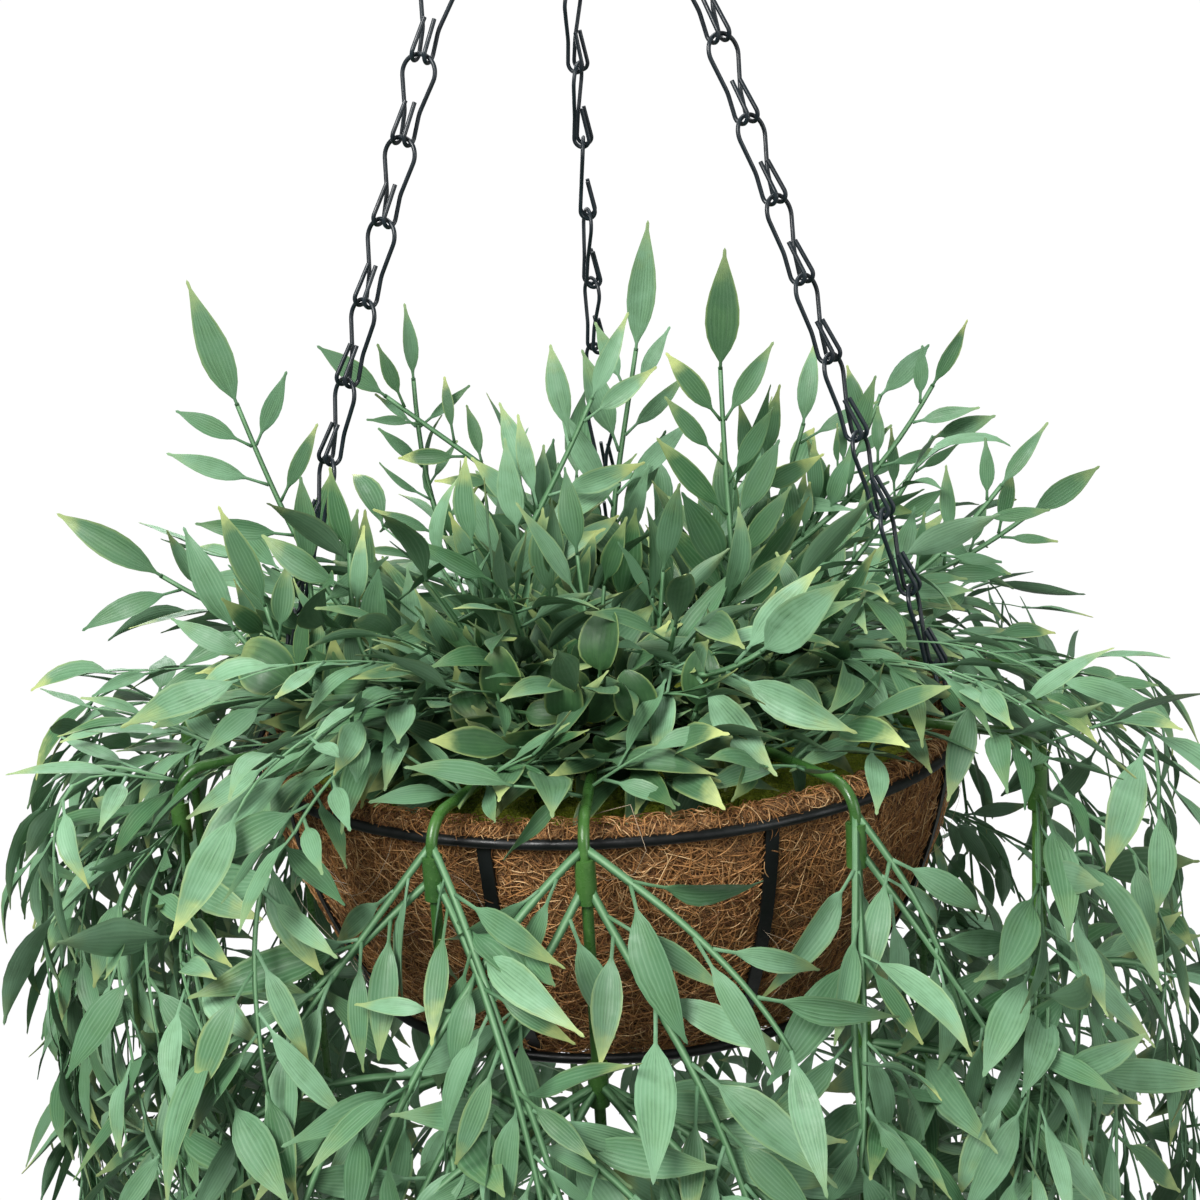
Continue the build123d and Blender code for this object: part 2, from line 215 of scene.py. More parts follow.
class Look:
    """A material under way: its shader, its nodes and its coordinates on the object."""

    def __init__(self, name):
        self.material = bpy.data.materials.new(name)
        self.material.use_nodes = True
        self.tree = self.material.node_tree
        self.tree.nodes.clear()
        self.shader = self.tree.nodes.new("ShaderNodeBsdfPrincipled")
        output = self.tree.nodes.new("ShaderNodeOutputMaterial")
        self.tree.links.new(self.shader.outputs["BSDF"], output.inputs["Surface"])
        self.place = add(self.tree, "ShaderNodeTexCoord", "Object")

    def noise(self, scale, detail=3.0, roughness=0.55, place=None, output="Fac"):
        return add(self.tree, "ShaderNodeTexNoise", output, Vector=place or self.place, Scale=scale,
                   Detail=detail, Roughness=roughness)

    def layer(self, name):
        """Values stored on the mesh."""
        return add(self.tree, "ShaderNodeAttribute", "Fac", attribute_name=name)

    def finish(self, colour, roughness, height, distance, strength=1.0, shine=0.5):
        """Give the shader its colour, roughness, bump and shine."""
        bump = add(self.tree, "ShaderNodeBump", "Normal", Height=height, Distance=distance, Strength=strength)
        parts = {"Base Color": colour, "Roughness": roughness, "Normal": bump, "Specular IOR Level": shine}
        for name, value in parts.items():
            plug(self.tree, value, self.shader.inputs[name])
        return self.material


def wire_look(name, deep, dark, painted_sheen, shine):
    """Black coating on steel wire, with a soft sheen and slight orange peel, and a painted sheen of lighter
    specks on the peel's peaks.
    """
    look = Look(name)
    grain = look.noise(900.0, 4.0)
    colour = mix(look.noise(60.0).spread(0.35, 0.7), deep, dark)
    # Painted sheen: lighter specks where the orange-peel bump is highest.
    colour = mix(grain.spread(0.62, 0.8, 0.0, 0.35), colour, painted_sheen)
    roughness = look.noise(220.0).spread(0.3, 0.75, 0.30, 0.52)
    return look.finish(colour, roughness, grain, 0.00012, 0.6, shine)


def stem_look():
    """Smooth moulded plastic over wire, a clear green."""
    look = Look("green_stem")
    grain = look.noise(700.0)
    colour = mix(look.noise(45.0).spread(0.3, 0.75), (0.028, 0.095, 0.018), (0.064, 0.170, 0.034))
    colour = mix(grain.spread(0.55, 0.8, 0.0, 0.4), colour, (0.15, 0.28, 0.09))
    roughness = look.noise(180.0).spread(0.3, 0.7, 0.22, 0.38)
    return look.finish(colour, roughness, grain, 0.00015, 0.5)


def leaf_look():
    """Matt soft plastic: parallel veins, yellowed tips and edges, paler backs."""
    look = Look("leaves")
    along, across, tint, yellow, deep, under, stem = [
        look.layer(name) for name in ("along", "across", "tint", "yellow", "deep", "under", "stem")]
    side = across.step("ABSOLUTE", across)
    cloud = look.noise(90.0)

    colour = mix(tint, (0.046, 0.146, 0.054), (0.205, 0.395, 0.232))
    # Darker green by the deep value: the leaves' own colour, and for the low and front sprigs partly painted
    # shade.
    colour = mix(deep, colour, (0.026, 0.080, 0.026))
    colour = mix(cloud.spread(0.35, 0.7, 0.0, 0.40), colour, (0.080, 0.190, 0.065))
    veins = (tint * 3.0 + 7.0) * pi
    ribs = across.step("SINE", across * veins)
    lines = ribs.spread(0.2, 1.0, 0.0, 0.12) * (1.0 - deep)
    colour = mix(lines, colour, (0.40, 0.58, 0.40))
    own = tint * 31.0 + yellow * 17.0
    long_way = add(look.tree, "ShaderNodeCombineXYZ", 0, X=across * 7.0, Y=along * 1.1, Z=own)
    streaks = look.noise(1.7, 4.0, 0.6, long_way)
    furrow = ribs.spread(-1.0, -0.72, 0.26, 0.0).above(streaks.spread(0.52, 0.66, 0.0, 0.50))
    furrow = furrow * cloud.spread(0.35, 0.65, 0.35, 1.0)
    colour = mix(furrow, colour, (0.022, 0.065, 0.028))

    blade = 1.0 - stem
    ragged = cloud * 0.5 + (along - 0.25)
    tip = ragged.spread(0.66, 0.98) * yellow
    rim = side.spread(0.74, 1.0, 0.0, 0.45) * yellow * ragged.spread(0.15, 0.75)
    colour = mix(tip.above(rim) * blade, colour, (0.48, 0.56, 0.20))
    edge = side.spread(0.86, 1.0, 0.0, 0.75) * deep * blade
    colour = mix(edge, colour, (0.24, 0.34, 0.11))

    back = mix(0.45, colour, (0.11, 0.17, 0.12))
    colour = mix(under * 0.8, colour, back)
    # Stems: a painted highlight along the raised rib, going over to painted shade towards the edges.
    painted_rib_highlight = side.spread(0.0, 0.45, 0.55, 0.0)
    colour = mix(stem, colour, mix(painted_rib_highlight, (0.095, 0.225, 0.100), (0.27, 0.46, 0.26)))

    roughness = look.noise(240.0).spread(0.3, 0.7, 0.42, 0.60)
    height = look.noise(1500.0, 2.0) * 0.30 + ribs * 0.10 - furrow * 0.5
    return look.finish(colour, roughness, height, 0.00016, 0.7, 0.38)


def coir_look():
    """Felted coconut fibre seen between the loose strands."""
    look = Look("coir")
    warp = look.noise(55.0, 3.0, 0.5, output="Color")
    shifted = look.tree.nodes.new("ShaderNodeVectorMath")
    shifted.operation = "MULTIPLY_ADD"
    for socket, value in zip(shifted.inputs, (warp, (0.02, 0.02, 0.02), look.place)):
        plug(look.tree, value, socket)
    strands = add(look.tree, "ShaderNodeTexVoronoi", "Distance", feature="DISTANCE_TO_EDGE",
                  Vector=Value(look.tree, shifted.outputs[0]), Scale=620.0)
    grain = look.noise(1100.0, 4.0)
    colour = mix(grain.spread(0.35, 0.65), (0.045, 0.017, 0.006), (0.31, 0.148, 0.048))
    colour = mix(strands.spread(0.0, 0.12, 0.75, 0.0), colour, (0.50, 0.29, 0.12))
    colour = mix(look.noise(28.0).spread(0.4, 0.75, 0.0, 0.4), colour, (0.12, 0.05, 0.018))
    roughness = grain.spread(0.2, 0.8, 0.80, 0.98)
    return look.finish(colour, roughness, grain - strands * 2.0, 0.0007)


def fibre_look(name, dark, middle, light):
    """Single coconut fibres, each of its own shade."""
    look = Look(name)
    shade = look.layer("shade")
    grain = look.noise(800.0)
    colour = mix(shade.spread(0.0, 0.5), dark, middle)
    colour = mix(shade.spread(0.5, 1.0), colour, light)
    colour = mix(grain.spread(0.4, 0.8, 0.0, 0.35), colour, dark)
    return look.finish(colour, grain.spread(0.2, 0.8, 0.55, 0.8), grain, 0.0001)


def foam_look():
    """Open-celled floral foam, olive green."""
    look = Look("foam")
    cells = add(look.tree, "ShaderNodeTexVoronoi", "Distance", Vector=look.place, Scale=900.0)
    grain = look.noise(500.0, 4.0)
    colour = mix(look.noise(60.0).spread(0.3, 0.7), (0.54, 0.64, 0.050), (0.76, 0.86, 0.100))
    colour = mix(cells.spread(0.35, 0.8, 0.0, 0.5), colour, (0.30, 0.38, 0.022))
    return look.finish(colour, grain.spread(0.2, 0.8, 0.75, 0.97), grain - cells, 0.0008)


# The third colour given for each wire is the colour of its painted sheen.
WIRE = wire_look("black_wire", (0.003, 0.004, 0.004), (0.007, 0.009, 0.009),
                 (0.018, 0.021, 0.022), 0.32)
CHAIN = wire_look("blued_wire", (0.003, 0.008, 0.012), (0.008, 0.017, 0.023),
                  (0.020, 0.032, 0.040), 0.50)
STEM = stem_look()
LEAF = leaf_look()
COIR = coir_look()
FIBRE = fibre_look("coir_fibre", (0.13, 0.048, 0.013), (0.49, 0.235, 0.074), (0.84, 0.57, 0.29))
HAIR = fibre_look("loose_hair", (0.55, 0.42, 0.28), (0.68, 0.58, 0.45), (0.80, 0.74, 0.64))
FOAM = foam_look()


# ---- meshes
def new_object(name, points, faces, look, layers=None, face_layers=None, smooth=True, sharp=None):
    """A mesh object with float values on its points and faces."""
    mesh = bpy.data.meshes.new(name)
    mesh.from_pydata(points, [], faces)
    mesh.update()
    for domain, values in (("POINT", layers or {}), ("FACE", face_layers or {})):
        for key, numbers in values.items():
            layer = mesh.attributes.new(key, "FLOAT", domain)
            layer.data.foreach_set("value", np.asarray(numbers, dtype=np.float32))
    mesh.polygons.foreach_set("use_smooth", np.full(len(mesh.polygons), smooth))
    if sharp is not None:
        pairs = np.empty(len(mesh.edges) * 2, dtype=np.int32)
        mesh.edges.foreach_get("vertices", pairs)
        pairs = pairs.reshape(-1, 2)
        layer = mesh.attributes.new("sharp_edge", "BOOLEAN", "EDGE")
        layer.data.foreach_set("value", sharp[pairs[:, 0]] & sharp[pairs[:, 1]])
    mesh.materials.append(look)
    made = bpy.data.objects.new(name, mesh)
    bpy.context.scene.collection.objects.link(made)
    return made


def tube_faces(rings, sides, flip=False):
    """A cap on each end of a tube of points, and the quads between its rings."""
    last = (rings - 1) * sides
    faces = [list(range(sides)), [last + k for k in reversed(range(sides))]]
    if flip:
        faces = [face[::-1] for face in faces]
    for near in range(0, last, sides):
        far = near + sides
        for k in range(sides):
            after = (k + 1) % sides
            loop = [far + k, far + after, near + after]
            faces.append([near + k, *(reversed(loop) if flip else loop)])
    return faces


# ---- room taken by other things
CELL = 0.0045
taken = {}


def cell_of(point):
    return (round(point[0] / CELL), round(point[1] / CELL), round(point[2] / CELL))


def take(points, weight=1):
    for point in points:
        key = cell_of(point)
        taken[key] = max(taken.get(key, 0), weight)


def crowding(points):
    """How much a leaf at these points would run into other things."""
    score = 0
    for x, y, z in points:
        score += taken.get(cell_of((x, y, z)), 0)
        radius = hypot(x, y)
        in_bowl = TURN_Z - 0.01 < z < LIP_Z + 0.001 and radius < bowl_radius(z) + 0.001
        if in_bowl and (radius > RIM_RADIUS - 0.016 or z < foam_top(radius) + 0.001):
            score += 6
        outside = (not LEAF_LOW.x < x < LEAF_HIGH.x, not LEAF_LOW.y < y < LEAF_HIGH.y, z < LEAF_LOW.z)
        score += 8 * sum(outside)
    return score


def cells(points):
    """The middles of the cells that these points are in."""
    return np.unique(np.round(points / CELL), axis=0) * CELL


for wires, weight in (("chain_right", 5), ("chain_back", 5), ("chain_left", 5), ("rim", 2), ("base_hoop", 2)):
    taken.update((cell_of(point), weight) for point in cells(mesh_points(wires)))
chain_foot = mesh_points("chain_right")
chain_foot = cells(chain_foot[chain_foot[:, 2] < RIM_Z + CLEAR_HEIGHT])
for ahead in np.arange(2 * CELL, CLEAR_DEPTH, CELL):
    take(chain_foot + np.array(FRONTWARDS) * ahead, 4)


# ---- leaves and sprigs
BLADE = np.array([0.0, 0.05, 0.12, 0.22, 0.34, 0.47, 0.60, 0.72, 0.83, 0.92, 0.975])
ACROSS = np.array([-1.0, -0.5, 0.0, 0.5, 1.0])
LEAF_RINGS = len(BLADE) + 2


def leaf_faces():
    """Faces of one leaf: rings of eight points from the foot of its stalk, then the tip."""
    sides = ((0, 1), (5, 0), (1, 2), (6, 5), (2, 3), (7, 6), (3, 4), (4, 7))
    last = (LEAF_RINGS - 1) * 8
    faces = []
    for near in range(0, last, 8):
        far = near + 8
        faces += [[near + first, near + second, far + second, far + first] for first, second in sides]
    faces += [[last + first, last + second, last + 8] for first, second in sides]
    faces.append([0, 5, 6, 7, 4, 3, 2, 1])
    return faces, [0.0, 1.0] * (4 * LEAF_RINGS) + [0.0]


LEAF_FACES, LEAF_UNDER = leaf_faces()


class Plant:
    """Leaves and sprigs that become one mesh."""

    def __init__(self):
        self.points = []
        self.faces = []
        self.under = []
        self.margin = []
        self.layers = {key: [] for key in ("along", "across", "tint", "yellow", "deep", "stem")}
        self.count = 0
        self.leaves = 0

    def put(self, points, faces, under, margin, **layers):
        self.points.append(points)
        self.faces.extend([[self.count + index for index in face] for face in faces])
        self.under.extend(under)
        self.margin.append(margin)
        for key, store in self.layers.items():
            value = layers.get(key, 0.0)
            store.append(np.broadcast_to(np.asarray(value, dtype=float), (len(points),)))
        self.count += len(points)

    def put_stalk(self, points, faces, **layers):
        self.put(points, faces, [0.0] * len(faces), np.zeros(len(points), dtype=bool), stem=1.0, **layers)

    def build(self, name):
        layers = {key: join(store) for key, store in self.layers.items()}
        return new_object(name, join(self.points), self.faces, LEAF, layers,
                          {"under": self.under}, True, join(self.margin))


def leaf_shape(base, heading, normal, leaf):
    """Points of one leaf, and the few of them that stand for it when room is looked for."""
    stalk, blade, width = leaf["stalk"], leaf["blade"], leaf["width"]
    shares = join([[0.0, 0.5 * stalk], stalk + blade * BLADE, [stalk + blade]])
    front, rear = leaf["ends"]
    peak = front / (front + rear)
    outline = BLADE**front * (1 - BLADE) ** rear / (peak**front * (1 - peak) ** rear)
    stalk_half = 0.00055 + 0.00012 * width / 0.012
    half = join([[stalk_half * 1.25, stalk_half], np.maximum(outline * width / 2, stalk_half), [0.0]])
    share = shares / shares[-1]
    angle = leaf["lift"] - leaf["arch"] * share**1.4
    steps = np.diff(shares)
    middle = (angle[1:] + angle[:-1]) / 2
    forward = join([[0.0], np.cumsum(np.cos(middle) * steps)])
    rise = join([[0.0], np.cumsum(np.sin(middle) * steps)])
    sideways = heading.cross(normal)
    out, up, side = np.array(heading), np.array(normal), np.array(sideways)
    twist = leaf["twist"] * share
    upward = -np.sin(angle)[:, None] * out + np.cos(angle)[:, None] * up
    wide = np.cos(twist)[:, None] * side + np.sin(twist)[:, None] * upward
    thick = -np.sin(twist)[:, None] * side + np.cos(twist)[:, None] * upward
    centre = np.array(base) + forward[:, None] * out + rise[:, None] * up
    blade_share = np.clip((shares - stalk) / blade, 0, 1)
    fold = leaf["fold"] * np.clip(blade_share * 6, 0, 1) * (1 - 0.4 * blade_share)
    body = join([[0.00055] * 3, np.linspace(0.00042, 0.00018, LEAF_RINGS - 2)])
    rings = []
    for ring in range(LEAF_RINGS):
        height = fold[ring] * np.abs(ACROSS) * half[ring]
        ripple = leaf["ripple"] * sin(9.0 * blade_share[ring] + leaf["phase"]) * ACROSS**2 * half[ring]
        flat = centre[ring] + (ACROSS * half[ring])[:, None] * wide[ring]
        mid = flat + (height + ripple)[:, None] * thick[ring]
        swell = (body[ring] * np.sqrt(1 - ACROSS**2 * 0.999))[:, None] * thick[ring]
        rings.append(join([mid + swell, (mid - swell)[1:4]]))
        rings[-1][0] = mid[0]
        rings[-1][4] = mid[4]
    points = join([*rings, centre[-1:]])
    sample = [3, 5, 7, 9, 11]
    marks = [points[8 * ring + spot] for ring in sample for spot in (0, 2, 4)] + [points[-1]]
    return points, marks, share


LEAF_MARGIN = np.array(([True, False, False, False, True, False, False, False] * LEAF_RINGS) + [True])


def put_leaf(plant, base, heading, face, leaf, tries=4):
    """Add a leaf, turned a little if its first place is already taken."""
    best = None
    stray = leaf["stray"]
    for attempt in range(tries):
        turn = Quaternion(UP, about(0, 0.10 * stray + 0.22 * attempt))
        tilt = Vector([about(0, 0.10 * stray + 0.13 * attempt) for _ in range(3)])
        way = (turn @ heading + tilt).normalized()
        normal = face + Vector([about(0, 0.36 * stray) for _ in range(3)])
        normal = (normal - way * normal.dot(way)).normalized()
        points, marks, share = leaf_shape(base, way, normal, leaf)
        score = crowding(marks)
        if best is None or score < best[0]:
            best = (score, points, marks, share)
        if score == 0:
            break
    score, points, marks, share = best
    if score > (5 if stray > 0.5 else 16):
        return
    take(marks)
    across = join([np.tile([-1, -0.5, 0, 0.5, 1, -0.5, 0, 0.5], LEAF_RINGS), [0]])
    along = join([np.repeat(share[:-1], 8), [1.0]])
    plant.put(points, LEAF_FACES, LEAF_UNDER, LEAF_MARGIN, along=along, across=across,
              tint=leaf["tint"], yellow=leaf["yellow"], deep=leaf["deep"])
    plant.leaves += 1


STEM_SIDES = 8
STEM_ACROSS = np.array([-1, -0.36, 0, 0.36, 1, 0.36, 0, -0.36])
STEM_HEIGHT = 0.30 * np.array([0, 0.45, 1.3, 0.45, 0, -0.45, -1.0, -0.45])


def along_path(path, index):
    """The direction of a path at one of its points."""
    return (path[min(index + 1, len(path) - 1)] - path[max(index - 1, 0)]).normalized()


def put_stem(plant, path, faces_to, start_half, end_half):
    """Add a flat stem with a raised rib along the middle of both faces."""
    rings = len(path)
    points = []
    for index, point in enumerate(path):
        ahead = along_path(path, index)
        normal = faces_to[index] - ahead * faces_to[index].dot(ahead)
        normal.normalize()
        wide = ahead.cross(normal)
        share = index / (rings - 1)
        half = start_half + (end_half - start_half) * share
        flat = np.array(point) + (STEM_ACROSS * half)[:, None] * np.array(wide)
        points.append(flat + (STEM_HEIGHT * half)[:, None] * np.array(normal))
    plant.put_stalk(join(points), tube_faces(rings, STEM_SIDES), across=np.tile(STEM_ACROSS, rings), tint=0.4)
    take(path[2::2])


def put_tube(plant, path, radius, sides=10):
    """Add a round stem."""
    points = []
    for index, point in enumerate(path):
        ahead = along_path(path, index)
        first = ahead.orthogonal().normalized()
        second = ahead.cross(first)
        for k in range(sides):
            turn = 2 * pi * k / sides
            points.append(point + first * (radius * cos(turn)) + second * (radius * sin(turn)))
    plant.put_stalk(np.array(points), tube_faces(len(path), sides, True), across=1.0, tint=0.3)


STEP = 0.007


def grow(start, heading, length, sag, turn=0.0):
    """Centre-line of a sprig that bends down under its own weight, clear of the bowl."""
    point = start.copy()
    heading = heading.normalized()
    path = [point.copy()]
    waver = Vector([about(0, 1) for _ in range(3)])
    for number in range(max(int(length / STEP), 4)):
        share = number * STEP / length
        weight = sag * STEP * (0.25 + 1.5 * share) if number else 0.0
        heading = heading + Vector((0, 0, -weight)) + UP.cross(heading) * (turn * STEP)
        waver = waver * 0.8 + Vector([about(0, 1) for _ in range(3)]) * 0.5
        heading = (heading + waver * 0.016).normalized()
        far = hypot((point.x + heading.x * 0.03) / REACH_X, (point.y + heading.y * 0.03) / REACH_Y)
        if far > 0.86:
            outward = Vector((point.x, point.y, 0)).normalized()
            push = max(heading.dot(outward), 0.0) * min((far - 0.86) / 0.14, 1.0)
            heading = (heading - outward * (push * 0.5) - UP * (0.35 * push)).normalized()
        point = point + heading * STEP
        radius = hypot(point.x, point.y)
        wall = bowl_radius(point.z) + 0.007
        if TURN_Z - 0.012 < point.z < LIP_Z + 0.004 and radius < wall:
            if radius > RIM_RADIUS - 0.02 and point.z > RIM_Z - 0.004:
                point.z = LIP_Z + 0.005
                heading.z = max(heading.z, -0.1)
            elif radius >= RIM_RADIUS - 0.02 or point.z < RIM_Z - 0.02:
                point.x *= wall / radius
                point.y *= wall / radius
        if radius < RIM_RADIUS - 0.02 and TURN_Z < point.z < foam_top(radius) + 0.006:
            point.z = foam_top(radius) + 0.006
            heading.z = abs(heading.z)
        path.append(point.copy())
    return path


def curve(start, lift, end, lean, hold):
    """Centre-line that leaves along lift and reaches its end (height over the rim), leaning as given."""
    first = start + Vector(lift)
    end = Vector((end[0], end[1], RIM_Z + end[2]))
    second = end + Vector((-lean[0], -lean[1], -1.0)).normalized() * hold
    span = (first - start).length + (second - first).length + (end - second).length
    count = max(int(span / STEP), 5)
    path = []
    for number in range(count + 1):
        t = number / count
        path.append(start * (1 - t) ** 3 + first * (3 * t * (1 - t) ** 2)
                    + second * (3 * t * t * (1 - t)) + end * t**3)
    return path


def new_leaf(style, fade=1.0):
    """Sizes, bends and shades of one leaf."""
    size = style["size"] * fade
    blade = between(0.030, 0.046) * size
    deep = style.get("deep", 0.0)
    stray = style.get("stray", 1.0)
    leaf = {
        "stalk": between(0.006, 0.012) * size,
        "blade": blade,
        "width": blade * between(0.22, 0.33) * style.get("slim", 1.0),
        "ends": (between(0.80, 1.05), between(1.25, 1.6)),
        "lift": between(0.0, 0.30) * stray,
        "arch": about(0.50, 0.40) * stray,
        "twist": about(0, 0.50) * stray,
        "fold": between(0.15, 0.55),
        "ripple": between(0.0, 0.12),
        "phase": between(0, 6),
        "tint": min(max(about(style["tint"], 0.24), 0), 1),
        "yellow": min(max(about(style["yellow"], 0.36), 0), 1),
        "deep": min(max(about(deep, 0.14), 0), 1) if deep else max(about(-0.25, 0.35), 0),
        "stray": stray,
    }
    if style.get("kind") == "round":
        leaf["ends"] = (0.62, 0.72)
        leaf["width"] = blade * between(0.50, 0.66)
        leaf["blade"] = blade * 0.8
        leaf["arch"] = about(1.1, 0.25)
        leaf["fold"] = between(0.2, 0.5)
    return leaf


FACING = {               # how far a pose's leaves face outwards, and the rest of their direction
    "hang": (1.0, (0.0, 0.0, 0.35)),
    "arch": (0.45, (0.0, 0.0, 1.0)),
    "rise": (0.8, (0.0, -0.7, 0.35)),
    "fan": (0.0, (0.0, -1.0, 0.25)),
}


def put_sprig(plant, path, pose, style, spacing, first, half=0.0016):
    """Add a sprig's stem and the pairs of leaves along it.

    pose "hang": leaves droop and face outwards; "arch": they face up; "rise": they face the
    stem; "fan": they spread out flat and face the front.
    """
    rings = len(path)
    outward, fixed = FACING[pose]
    facing = [Vector((point.x, point.y, 0)).normalized() * outward + Vector(fixed) for point in path]
    put_stem(plant, path, facing, half, half * 0.55)
    length = STEP * (rings - 1)
    place = first + between(-0.006, 0.006)
    advance = spacing
    if pose == "fan":
        place = length - 0.013
        advance = -spacing
    hand = rng.choice((-1, 1))
    while first - 0.007 < place < length - 0.012:
        for sign, shift in ((hand, 0.0), (-hand, between(0.002, 0.012))):
            index = min(int((place + shift) / STEP), rings - 2)
            if rng.random() < style.get("gaps", 0.06):
                continue
            here = path[index]
            ahead = (path[index + 1] - path[index]).normalized()
            normal = (facing[index] - ahead * facing[index].dot(ahead)).normalized()
            wide = ahead.cross(normal) * sign
            angle = radians(about(*style["angle"]))
            heading = ahead * cos(angle) + wide * sin(angle)
            if pose == "rise":
                face = ahead - heading * 0.2 + normal * about(0.2, 0.5)
            elif pose == "fan":
                face = normal + Vector((0.0, 0.0, about(0.1, 0.3)))
            else:
                heading = heading + UP * -style.get("droop", 0.25)
                face = normal
            heading.normalize()
            leaf = new_leaf(style, 1.0 - 0.22 * place / length)
            if pose == "rise":
                leaf["lift"] = between(-0.1, 0.1)
                leaf["arch"] = about(0.15, 0.30)
            put_leaf(plant, here + wide * (half * 0.5), heading, face, leaf)
        place += advance * between(0.85, 1.15)
    ahead = (path[-1] - path[-2]).normalized()
    face = facing[-1]
    if pose == "rise":
        face = facing[-1] + Vector([about(0, 0.4) for _ in range(3)])
    leaf = new_leaf(style, style.get("crown", 1.0))
    leaf["stalk"] = 0.003
    put_leaf(plant, path[-1] - ahead * 0.001, ahead, face, leaf)


SAGE = {"size": 1.05, "tint": 0.50, "yellow": 0.35, "angle": (38, 9), "droop": 0.18}
PALE = {"size": 1.05, "tint": 1.25, "yellow": 0.40, "angle": (34, 5), "gaps": 0.0, "spacing": 0.023,
        "stray": 0.35, "crown": 1.15}
DARK = {"size": 1.05, "tint": 0.20, "yellow": 0.35, "deep": 0.45, "angle": (38, 6), "slim": 1.15,
        "gaps": 0.0, "spacing": 0.019, "stray": 0.35, "crown": 1.05}
TALL = {"size": 1.1, "tint": 0.40, "yellow": 0.30, "angle": (44, 6), "gaps": 0.0,
        "spacing": 0.022, "stray": 0.35, "crown": 1.15}
SMALL = {"size": 0.75, "tint": 0.35, "yellow": 0.35, "angle": (42, 10), "droop": 0.1,
         "spacing": 0.020, "stray": 0.6}
ROUND = {"size": 0.85, "tint": 0.15, "yellow": 0.15, "deep": 0.75, "angle": (50, 12), "kind": "round",
         "droop": 0.1}
EAR = dict(ROUND, size=0.82, deep=1.0, yellow=0.0, angle=(60, 10), gaps=0.0, spacing=0.018, stray=0.6)
# LOW: darker green leaves for the low sprigs, partly their own colour and partly painted shade under the
# crown.
LOW = {"size": 0.9, "tint": 0.25, "yellow": 0.55, "deep": 0.50, "angle": (45, 10), "droop": 0.0,
       "slim": 1.25}


# ---- trailing plants
def trailing_plant(number):
    """All sprigs of one trailing stem, from every collar down to the end of its leaves."""
    stem = f"trailing_stem_{number:02d}"
    leaves = f"trailing_leaves_{number:02d}"
    foot = lowest(stem)
    outward, beside = level_directions(foot)
    front = outward.y < -0.55
    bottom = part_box(leaves)[0].z
    plant = Plant()
    collar = RIM_Z - COLLAR_DROP
    tier = 0
    while collar > bottom + 0.03:
        start = Vector((foot.x, foot.y, collar))
        room = collar - bottom
        count = 4 if tier else 5
        if outward.x > 0.8:
            count = 4 if tier else 2
        if front:
            count = 6 if tier else 4
        for index in range(count):
            swing = -1 if (index + tier) % 2 else 1
            across = swing * between(0.35, 1.0)
            if front and tier == 0:
                start.z = collar + 0.012 * (index // 2)
                across = swing * between(0.25, 0.85)
                heading = outward * 0.40 + beside * across + UP * between(-0.9, -0.4)
                length = min(between(0.10, 0.25), room)
                path = grow(start, heading, length, between(4.0, 9.0), -swing * 1.2)
            else:
                lift = between(-0.5, 0.25)
                inward = collar < TURN_Z - 0.02 and rng.random() < 0.45
                ahead = between(-0.9, 0.1) if inward else between(0.3, 1.0)
                heading = outward * ahead + beside * across + UP * lift
                length = min(between(0.14, 0.25), room + 0.02)
                sag = between(9.0, 15.0)
                path = grow(start, heading, length, sag, -swing * between(0, 2))
            style = dict(SAGE, tint=about(0.50, 0.20), size=between(0.9, 1.25))
            put_sprig(plant, path, "hang", style, 0.027 if front else 0.030, 0.020)
        collar -= COLLAR_GAP
        tier += 1
    crest = Vector((foot.x, foot.y, RIM_Z + 0.010))
    for index in range(2 if outward.x < -0.8 else 1 if outward.x > 0.8 else 0):
        heading = outward + beside * between(-0.5, 0.5) + UP * between(0.10, 0.55)
        path = grow(crest, heading, between(0.075, 0.105), between(5.0, 9.0))
        style = dict(SAGE, tint=about(0.6, 0.2), size=between(1.0, 1.25))
        put_sprig(plant, path, "arch", style, 0.024, 0.020)
    cover = 0 if outward.y >= -0.3 or front else 5 if outward.x < 0 else 3
    for index in range(cover):
        start = crest - UP * (0.02 + 0.014 * index)
        heading = Vector((-outward.x * between(0.0, 0.5), -1.0, between(-0.6, 0.0)))
        path = grow(start, heading, between(0.10, 0.19), between(7.0, 11.0))
        style = dict(SAGE, tint=about(0.6, 0.2), size=between(1.0, 1.3))
        put_sprig(plant, path, "hang", style, 0.024, 0.022)
    for index in range(2 if front else 0):
        start = outward * (0.134 + 0.010 * index) + UP * FOAM_SPRIG_Z
        swing = -1 if index % 2 else 1
        heading = outward * 0.25 + beside * swing + UP * between(0.25, 0.8)
        path = grow(start, heading, between(0.022, 0.040), 6.0)
        style = dict(SAGE, size=0.8, tint=about(0.4, 0.2))
        put_sprig(plant, path, "arch", style, 0.016, 0.008, 0.0013)
    far = 0.118 if front else hypot(foot.x, foot.y) - 0.010
    for index in range(9 if front else 6):
        radius = INNER_RADIUS + (far - INNER_RADIUS) * (index % 7) / 6
        start = outward * radius + UP * FOAM_SPRIG_Z
        swing = -1 if index % 2 else 1
        turn = swing * (between(0.7, 1.7) if front else between(0.3, 1.5))
        heading = outward * cos(turn) + beside * sin(turn) + UP * between(-0.1, 0.55)
        length = between(0.035, 0.060) if front else between(0.045, 0.085)
        path = grow(start, heading, length, between(5.0, 9.0))
        # Front inner sprigs take the darker LOW leaves, partly painted shade.
        style = LOW if front else dict(SAGE, tint=about(0.40, 0.2), size=between(0.75, 1.0))
        put_sprig(plant, path, "arch", style, 0.018, 0.014, 0.0013)
    made = plant.build(f"foliage_{leaves}")
    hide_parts(leaves)
    return made, plant.leaves


